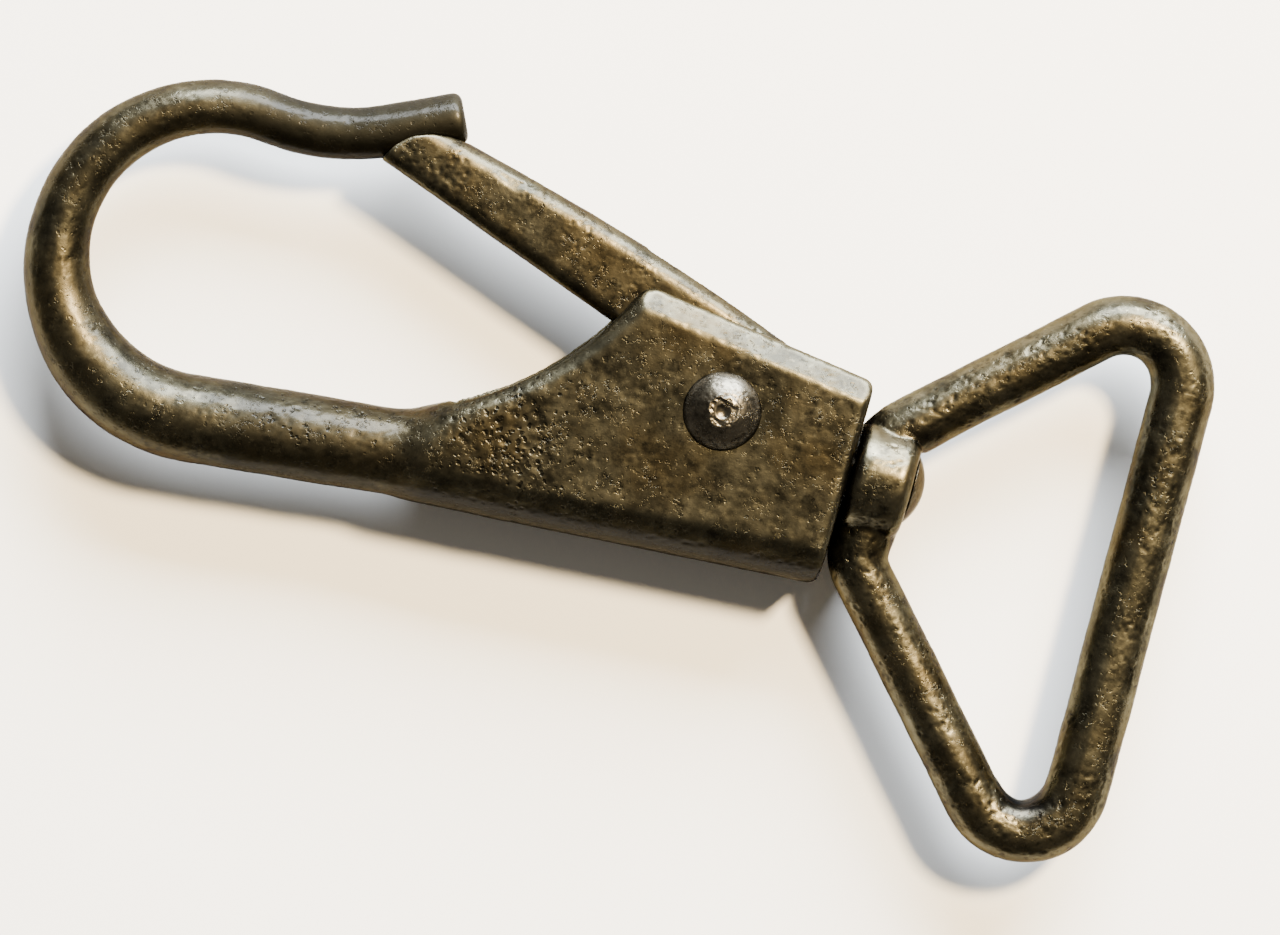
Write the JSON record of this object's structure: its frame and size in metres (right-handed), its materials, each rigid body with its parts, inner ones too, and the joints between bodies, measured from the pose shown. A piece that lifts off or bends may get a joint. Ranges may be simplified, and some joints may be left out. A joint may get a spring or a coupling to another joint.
{
  "type": "swivel snap hook",
  "caption": "Forged swivel snap hook: tapering round hook, sprung inward-opening gate on a rivet, and a triangular webbing link on a swivel stud.",
  "frame": {"origin": "centre of the part's box in X and Y, at its lowest point in Z, lying flat on the rivet's tail", "axes": "+X along the swivel axis from the hook towards the link, +Y towards the gate's side, +Z across the flat cheeks, out of the face with the rivet's round head"},
  "size_m": [0.1232, 0.0606, 0.0146],
  "materials": {
    "forged_steel": "dark oiled forging skin, pitted",
    "gate_steel": "dark oiled forging skin, brown",
    "rivet_steel": "dark oiled steel, rubbed on the crown",
    "spring_steel": "oil-blackened spring wire",
    "stud_steel": "dark oiled steel",
    "washer_steel": "dark oiled steel",
    "link_steel": "dark oiled steel bar, pitted"
  },
  "bodies": {
    "hook": {"hook_body": "forged_steel", "gate_rivet": "rivet_steel", "gate_spring": "spring_steel", "swivel_stud": "stud_steel", "swivel_washer": "washer_steel"},
    "gate": {"gate": "gate_steel"},
    "link": {"delta_link": "link_steel"}
  },
  "joints": [
    {"name": "gate_hinge", "type": "hinge", "parent": "hook", "child": "gate", "pos_m": [0.01177, 0.00648, 0.00705], "axis": [0, 0, 1], "range_deg": [0, 33], "stiffness_Nm_per_rad": 0.3, "springref_deg": -28.65, "deforming": ["gate_spring"]},
    {"name": "link_swivel", "type": "hinge", "parent": "hook", "child": "link", "pos_m": [0.02967, 0.00398, 0.00705], "axis": [1, 0, 0], "continuous": true}
  ]
}
